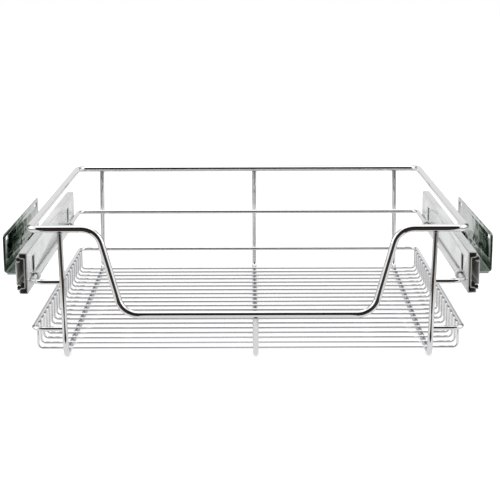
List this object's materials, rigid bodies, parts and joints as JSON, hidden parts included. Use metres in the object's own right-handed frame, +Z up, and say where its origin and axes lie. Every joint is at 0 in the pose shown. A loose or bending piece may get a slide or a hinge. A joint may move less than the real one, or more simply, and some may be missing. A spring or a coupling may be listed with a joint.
{
  "type": "pull-out cabinet basket",
  "caption": "Chromed wire basket with a low front for the hands, hung on two ball-bearing slides whose brackets screw to the sides of a kitchen cabinet.",
  "frame": {"origin": "on the floor under the stringers, in the middle of the top rail's rectangle", "axes": "+X to the right seen from the user, +Y into the cabinet, +Z up; the basket pulls out along -Y"},
  "size_m": [0.564, 0.444, 0.148],
  "materials": {
    "chrome_wire": "bright chrome plate on steel wire",
    "zinc_steel": "bright zinc plate on rolled steel",
    "mirror_steel": "mirror-polished plated steel",
    "ball_steel": "polished bearing steel",
    "black_plastic": "black moulded plastic"
  },
  "bodies": {
    "cabinet_side": {"left_bracket": "mirror_steel", "left_bracket_rivets": "zinc_steel", "left_cabinet_rail": "zinc_steel", "left_rear_stop": "black_plastic", "right_bracket": "mirror_steel", "right_bracket_rivets": "zinc_steel", "right_cabinet_rail": "zinc_steel", "right_rear_stop": "black_plastic"},
    "basket": {"top_rail": "chrome_wire", "middle_wire": "chrome_wire", "rim_wire": "chrome_wire", "centre_stringer": "chrome_wire", "left_side_stringer": "chrome_wire", "right_side_stringer": "chrome_wire", "floor_wires": "chrome_wire", "left_basket_rail": "zinc_steel", "right_basket_rail": "zinc_steel"},
    "left_middle_slide": {"left_middle_rail": "zinc_steel", "left_front_bumper": "black_plastic"},
    "left_outer_balls_and_cage": {"left_outer_ball_cage": "black_plastic", "left_outer_balls": "ball_steel"},
    "left_inner_balls_and_cage": {"left_inner_ball_cage": "black_plastic", "left_inner_balls": "ball_steel"},
    "right_middle_slide": {"right_middle_rail": "zinc_steel", "right_front_bumper": "black_plastic"},
    "right_outer_balls_and_cage": {"right_outer_ball_cage": "black_plastic", "right_outer_balls": "ball_steel"},
    "right_inner_balls_and_cage": {"right_inner_ball_cage": "black_plastic", "right_inner_balls": "ball_steel"}
  },
  "joints": [
    {"name": "basket_slide", "type": "slide", "parent": "cabinet_side", "child": "basket", "axis": [0, -1, 0], "range_m": [0, 0.4]},
    {"name": "left_middle_rail_slide", "type": "slide", "parent": "cabinet_side", "child": "left_middle_slide", "axis": [0, -1, 0], "range_m": [0, 0.2]},
    {"name": "left_outer_cage_slide", "type": "slide", "parent": "cabinet_side", "child": "left_outer_balls_and_cage", "axis": [0, -1, 0], "range_m": [0, 0.3]},
    {"name": "left_inner_cage_slide", "type": "slide", "parent": "cabinet_side", "child": "left_inner_balls_and_cage", "axis": [0, -1, 0], "range_m": [0, 0.1]},
    {"name": "right_middle_rail_slide", "type": "slide", "parent": "cabinet_side", "child": "right_middle_slide", "axis": [0, -1, 0], "range_m": [0, 0.2]},
    {"name": "right_outer_cage_slide", "type": "slide", "parent": "cabinet_side", "child": "right_outer_balls_and_cage", "axis": [0, -1, 0], "range_m": [0, 0.3]},
    {"name": "right_inner_cage_slide", "type": "slide", "parent": "cabinet_side", "child": "right_inner_balls_and_cage", "axis": [0, -1, 0], "range_m": [0, 0.1]}
  ],
  "couplings": [
    {"joint": "left_middle_rail_slide", "follows": "basket_slide", "ratio": 0.5},
    {"joint": "left_outer_cage_slide", "follows": "basket_slide", "ratio": 0.75},
    {"joint": "left_inner_cage_slide", "follows": "basket_slide", "ratio": 0.25},
    {"joint": "right_middle_rail_slide", "follows": "basket_slide", "ratio": 0.5},
    {"joint": "right_outer_cage_slide", "follows": "basket_slide", "ratio": 0.75},
    {"joint": "right_inner_cage_slide", "follows": "basket_slide", "ratio": 0.25}
  ]
}
